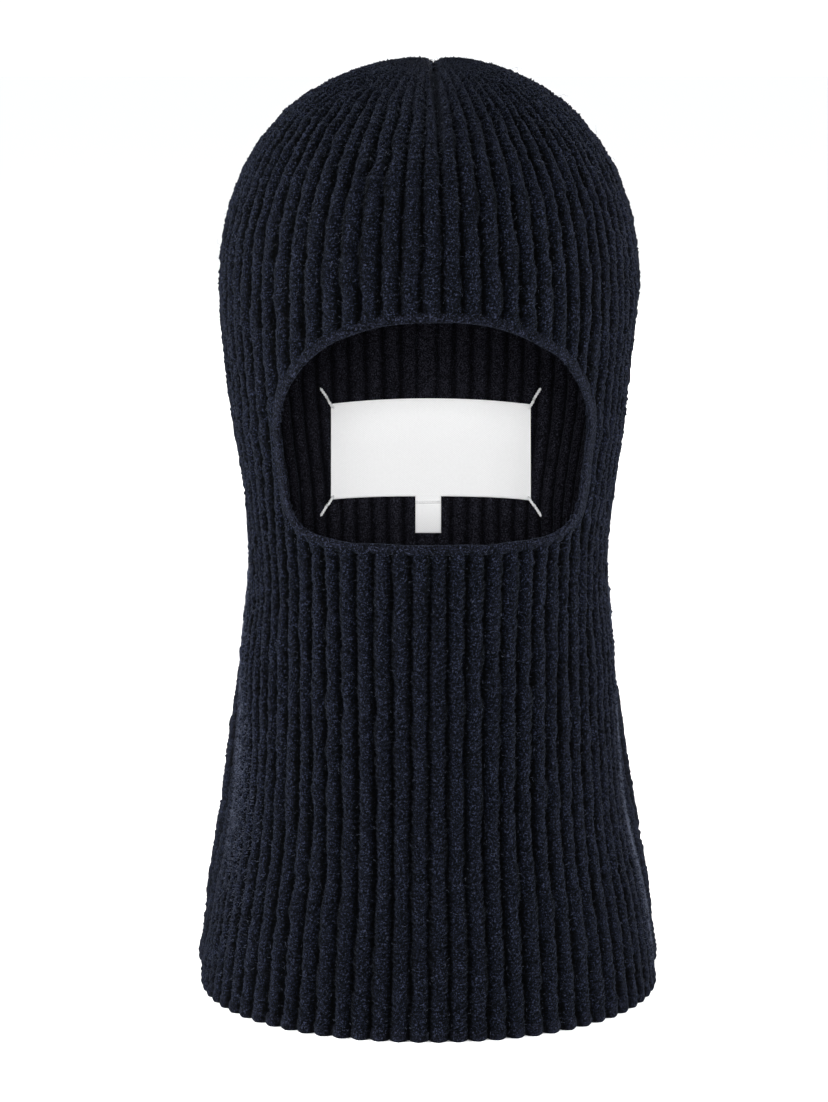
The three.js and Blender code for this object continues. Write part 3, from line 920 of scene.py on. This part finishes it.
def wool_material(name, dark, pale, is_knit=True, specks=4.5, valleys=0.93, fold_highlight=0.0, nap=0.9):
    """Mélange wool: near-black and navy fibres with paler ones mixed in, matt, and soft at grazing angles.
    On knit, shade is painted between the ribs, between the stitches' legs and in the crown's crease, and
    a highlight can be painted along the side folds. specks is how pale the palest fibres are, valleys how
    dark the painted shade between ribs is, fold_highlight how much paler the painted highlight along the
    folds is, and nap the height of the surface's fluff in millimetres."""
    material, tree, shader = new_material(name)
    place = tree.nodes.new("ShaderNodeTexCoord").outputs["Object"]
    speck = noise_node(tree, place, 1650.0, 5.0)
    cloud = noise_node(tree, place, 330.0, 3.0)
    fine, coarse = math_node(tree, "MULTIPLY", speck, 0.76), math_node(tree, "MULTIPLY", cloud, 0.24)
    mixed = math_node(tree, "ADD", fine, coarse)
    fibre = sharpen(tree, mixed, 0.47, 0.59)
    colour = mix_colours(tree, fibre, dark, pale)
    bright = sharpen(tree, noise_node(tree, place, 1900.0, 2.0), 0.56, 0.68)
    colour = mix_colours(tree, bright, colour, tuple(part * specks for part in pale[:3]) + (1.0,))
    height = mixed
    if is_knit:
        rib, legs, off = stitch_sockets(tree)
        # Painted shade: the colour darkens towards near-black in the valleys between ribs and between the
        # stitches' legs, both fading out near the top of the crown, and in the crown's crease.
        ragged = math_node(tree, "MULTIPLY_ADD", cloud, 0.9, -0.45)
        valley = sharpen(tree, math_node(tree, "ADD", off, ragged), 0.35, 0.95)
        axes = split_vector(tree, place)
        lower = sharpen(tree, axes[2], PLAIN_ABOVE, PLAIN_FROM)
        valley = math_node(tree, "MULTIPLY", valley, lower)
        crease = crown_crease_shade(tree, rib, axes)
        valley = math_node(tree, "MAXIMUM", valley, crease)
        valley = math_node(tree, "MULTIPLY_ADD", valley, -valleys, 1.0)
        shade = math_node(tree, "MULTIPLY", legs, lower)
        shade = math_node(tree, "MULTIPLY_ADD", shade, 0.15, 0.85)
        shade = math_node(tree, "MULTIPLY", shade, valley)
        black = tuple(part * 0.15 for part in dark[:3]) + (1.0,)
        colour = mix_colours(tree, shade, black, colour)
        height = math_node(tree, "ADD", height, math_node(tree, "MULTIPLY", legs, 0.2))
        # Painted highlight: the colour is made paler along the side folds.
        if fold_highlight:
            folds = painted_fold_highlight(tree, rib, axes[2])
            gain = math_node(tree, "MULTIPLY_ADD", folds, fold_highlight, 1.0)
            paler = tree.nodes.new("ShaderNodeVectorMath")
            paler.operation = "SCALE"
            tree.links.new(colour, paler.inputs[0])
            tree.links.new(gain, paler.inputs["Scale"])
            colour = paler.outputs[0]
    tree.links.new(colour, shader.inputs["Base Color"])
    shader.inputs["Roughness"].default_value = 1.0
    shader.inputs["Specular IOR Level"].default_value = 0.02
    shader.inputs["Sheen Weight"].default_value = WOOL_SHEEN
    shader.inputs["Sheen Roughness"].default_value = 0.28
    shader.inputs["Sheen Tint"].default_value = (0.6, 0.72, 1.0, 1.0)
    add_bump(tree, shader, height, 1.0, nap * MM)
    return material


def woven_material(name, colour):
    """White woven tape: fine warp and weft threads, with a little grain."""
    material, tree, shader = new_material(name)
    uv = stitch_map(tree)
    wave = []
    for socket, pitch in zip(split_vector(tree, uv), (WARP_PITCH, WEFT_PITCH)):
        turn = math_node(tree, "MULTIPLY", socket, 2 * math.pi / pitch)
        wave.append(math_node(tree, "SINE", turn))
    weave = math_node(tree, "MULTIPLY", wave[0], wave[1])
    weave = math_node(tree, "MULTIPLY_ADD", weave, 0.5, 0.5)
    grain = noise_node(tree, uv, 900.0, 3.0)
    fine, coarse = math_node(tree, "MULTIPLY", weave, 0.6), math_node(tree, "MULTIPLY", grain, 0.4)
    tone = math_node(tree, "ADD", fine, coarse)
    shadow = tuple(part * 0.84 for part in colour[:3]) + (1.0,)
    tree.links.new(mix_colours(tree, tone, shadow, colour), shader.inputs["Base Color"])
    shader.inputs["Roughness"].default_value = 0.75
    shader.inputs["Sheen Weight"].default_value = 0.1
    add_bump(tree, shader, tone, 0.7, 0.00012)
    return material


def plain_material(name, colour, roughness):
    material, _, shader = new_material(name)
    shader.inputs["Specular IOR Level"].default_value = 0.1
    shader.inputs["Base Color"].default_value = colour
    shader.inputs["Roughness"].default_value = roughness
    return material


NAVY_DARK = (0.0004, 0.0005, 0.0008, 1.0)
NAVY_PALE = (0.0026, 0.0031, 0.0056, 1.0)
EDGE_DARK = (0.0006, 0.0007, 0.0011, 1.0)
EDGE_PALE = (0.0040, 0.0046, 0.0080, 1.0)
# The inside and its seams are the same yarn as the outside, painted several times paler: painted light on
# the shaded inside.
INSIDE_DARK_PAINTED_LIGHT = (0.0042, 0.0042, 0.0056, 1.0)
INSIDE_PALE_PAINTED_LIGHT = (0.0158, 0.0160, 0.0225, 1.0)
LABEL_WHITE = (0.93, 0.93, 0.935, 1.0)

knit = wool_material("navy_wool_knit", NAVY_DARK, NAVY_PALE, specks=6.5, fold_highlight=0.45)
INSIDE_LOOK = {"specks": 2.0, "valleys": 0.75, "nap": 0.4}
inner_knit = wool_material("navy_wool_inside_painted_light", INSIDE_DARK_PAINTED_LIGHT, INSIDE_PALE_PAINTED_LIGHT, **INSIDE_LOOK)
edge_knit = wool_material("navy_wool_edge", EDGE_DARK, EDGE_PALE)
seam_knit = wool_material("navy_wool_seam_painted_light", INSIDE_DARK_PAINTED_LIGHT, INSIDE_PALE_PAINTED_LIGHT, **INSIDE_LOOK)
yarn = wool_material("navy_wool_yarn", NAVY_DARK, NAVY_PALE, is_knit=False)
dark_fibre = plain_material("dark_wool_fibre", (0.006, 0.007, 0.011, 1.0), 0.9)
pale_fibre = plain_material("pale_wool_fibre", (0.042, 0.047, 0.068, 1.0), 0.9)
# Paler than the other fibres, it paints the side folds' highlight.
highlight_fibre = plain_material("pale_highlight_fibre", (0.056, 0.064, 0.092, 1.0), 0.9)
woven = woven_material("white_woven_tape", LABEL_WHITE)
thread = plain_material("white_sewing_thread", (0.82, 0.82, 0.83, 1.0), 0.7)

# The hood

HALF = math.pi / 2
BACK_MIDDLE = FRONT_RIBS + BACK_RIBS  # number of the first rib left of the centre back
front = knit_panel("knit_front", -HALF, HALF, FRONT_RIBS, 0, knit, inner_knit, True)
dress(front, "hood", "knit", "front_panel")
right = knit_panel("knit_back_right", HALF, math.pi, BACK_RIBS, FRONT_RIBS, knit, inner_knit)
dress(right, "hood", "knit", "back_panel_right")
left = knit_panel("knit_back_left", -math.pi, -HALF, BACK_RIBS, BACK_MIDDLE, knit, inner_knit)
dress(left, "hood", "knit", "back_panel_left")

dress(opening_trim(edge_knit), "hood", "edge_knit", "face_trim")
dress(hem_ring(edge_knit), "hood", "edge_knit", "hem_edge")

SEAM_LOW = climb_at_height(HEM_EDGE + 1.0)
SEAM_HIGH = climb_at_radius(16.0)
for name, bearing, width in (
    ("side_seam_right", HALF, SEAM_WIDTH),
    ("side_seam_left", -HALF, SEAM_WIDTH),
    ("centre_back_seam", math.pi, SEAM_WIDTH + 1.6),
):
    seam = inside_seam("linked_" + name, bearing, SEAM_LOW, SEAM_HIGH, width, seam_knit)
    dress(seam, "hood", "linking_yarn", name)
short_seam = inside_seam(
    "linked_crown_seam", 0.03, climb_at_radius(38.0), SEAM_HIGH, SEAM_WIDTH, seam_knit, GROOVE_DEPTH
)
dress(short_seam, "hood", "linking_yarn", "crown_seam")
dress(crown_yarn(yarn), "hood", "linking_yarn", "crown_yarn")

for name, place, count, longest, steps, material, upright in (
    ("short_dark_fibres", everywhere, 9000, 2.6, 3, dark_fibre, LYING),
    ("short_pale_fibres", everywhere, 15000, 1.7, 3, pale_fibre, LYING),
    ("long_fibres", everywhere, 900, 7.0, 6, dark_fibre, LYING),
    # pale fibres packed along the side folds: a painted highlight
    ("fold_highlight_fibres", along_fold_highlights, 14000, 1.9, 3, highlight_fibre, STANDING),
):
    fibres = loose_fibres(name, place, count, longest, steps, material, upright)
    dress(fibres, "hood", "knit")

# The labels

label = dress(main_label(woven), "hood", "woven_label", "main_label")
sewn_end = dress(tape_end("tab_sewn_end", SEWN_TOP, SEWN_FOOT, TAB_BEHIND, woven), "hood", "woven_label")
for end, upward in (("upper", 1), ("lower", -1)):
    for hand, side in (("left", -1), ("right", 1)):
        node = "label_tack_" + end + "_" + hand
        dress(corner_tack("thread_" + node, side, upward, thread), "hood", "white_thread", node)

tab_line = dress(tab_sewing_line(thread), "hood", "white_thread", "tab_stitch")
tab = tape_end("hanging_tab", TAB_TOP, TAB_TOP - TAB_LENGTH, TAB_BEHIND, woven)
dress(tab, "tab", "woven_label", "tab_label")

# The floor, light and camera, in metres

CAMERA_DISTANCE = 1.2
CAMERA_TILT = math.radians(10)
CAMERA_SIDE = -0.0054
CAMERA_TARGET = 0.17  # height that it looks at
LIGHT_TARGET = (0, 0, 0.18)


def floor_and_light():
    bpy.ops.mesh.primitive_plane_add(size=30)
    floor = bpy.context.object
    floor.name = "floor"
    floor.data.materials.append(plain_material("white_floor", (0.9, 0.9, 0.9, 1.0), 0.9))
    world = bpy.data.worlds.new("studio")
    world.use_nodes = True
    world.node_tree.nodes["Background"].inputs["Color"].default_value = (0.97, 0.985, 1.0, 1.0)
    world.node_tree.nodes["Background"].inputs["Strength"].default_value = 1.13
    bpy.context.scene.world = world
    for name, place, size, power in (
        ("light_front", (0.0, -2.2, 0.64), 0.62, 48.0),
        ("light_left", (-1.65, -0.5, 0.5), 0.7, 94.0),
        ("light_right", (1.6, -0.55, 0.5), 0.6, 60.0),
        ("light_back", (0.9, 2.3, 0.9), 1.2, 50.0),
    ):
        data = bpy.data.lights.new(name, "AREA")
        data.size = size
        data.energy = power
        lamp = bpy.data.objects.new(name, data)
        lamp.location = place
        aim(lamp, LIGHT_TARGET)
        bpy.context.scene.collection.objects.link(lamp)


def aim(thing, target):
    thing.rotation_euler = (Vector(target) - thing.location).to_track_quat("-Z", "Y").to_euler()


def camera_view():
    data = bpy.data.cameras.new("camera")
    data.lens = 101.8
    data.sensor_width = 36.0
    camera = bpy.data.objects.new("camera", data)
    target = (CAMERA_SIDE, 0, CAMERA_TARGET)
    back = CAMERA_DISTANCE * math.cos(CAMERA_TILT)
    camera.location = (CAMERA_SIDE, -back, CAMERA_TARGET + CAMERA_DISTANCE * math.sin(CAMERA_TILT))
    aim(camera, target)
    bpy.context.scene.collection.objects.link(camera)
    bpy.context.scene.camera = camera
    bpy.context.scene.view_settings.view_transform = "Standard"


floor_and_light()
camera_view()
